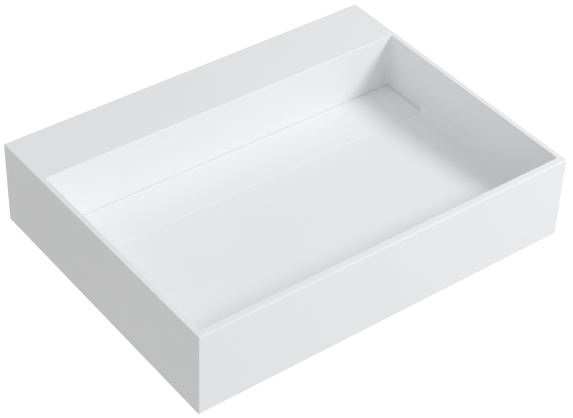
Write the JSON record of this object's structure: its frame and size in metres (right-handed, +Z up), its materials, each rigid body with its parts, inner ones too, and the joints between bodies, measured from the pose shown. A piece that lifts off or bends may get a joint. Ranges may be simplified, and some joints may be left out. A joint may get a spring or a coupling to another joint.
{
  "type": "wall-hung basin",
  "caption": "Rectangular wall-hung basin with a flat rear deck, a deep bowl and a full-width lift-out plate over a hidden drain channel.",
  "frame": {"origin": "on the wall plane, midway between the two wall fixings and 65 mm below the rim", "axes": "+X along the wall, +Y into the wall, +Z up; the bowl's front faces -Y"},
  "size_m": [0.6, 0.51, 0.173],
  "materials": {
    "solid_surface": "matte",
    "chrome_plate": "polished",
    "strainer_steel": "satin",
    "brass": "satin",
    "zinc_steel": "satin",
    "rubber": "matte",
    "pad_rubber": "matte",
    "nylon": "satin"
  },
  "bodies": {
    "basin": {"basin_body": "solid_surface", "waste_body": "chrome_plate", "waste_seal": "rubber", "waste_gasket": "rubber", "waste_washer": "nylon", "waste_backnut": "brass", "hanger_bolts": "zinc_steel", "fixing_bushes": "nylon", "fixing_washers": "zinc_steel", "fixing_nuts": "zinc_steel"},
    "cover": {"cover_plate": "solid_surface", "plate_pads": "pad_rubber"},
    "strainer": {"strainer_disc": "strainer_steel", "strainer_knob": "strainer_steel"}
  },
  "joints": [
    {"name": "cover_lift", "type": "slide", "parent": "basin", "child": "cover", "axis": [0, 0, 1], "range_m": [0, 0.18]},
    {"name": "strainer_lift", "type": "slide", "parent": "basin", "child": "strainer", "axis": [0, 0, 1], "range_m": [0, 0.144]}
  ],
  "couplings": [
    {"joint": "strainer_lift", "follows": "cover_lift", "ratio": 0.8}
  ]
}
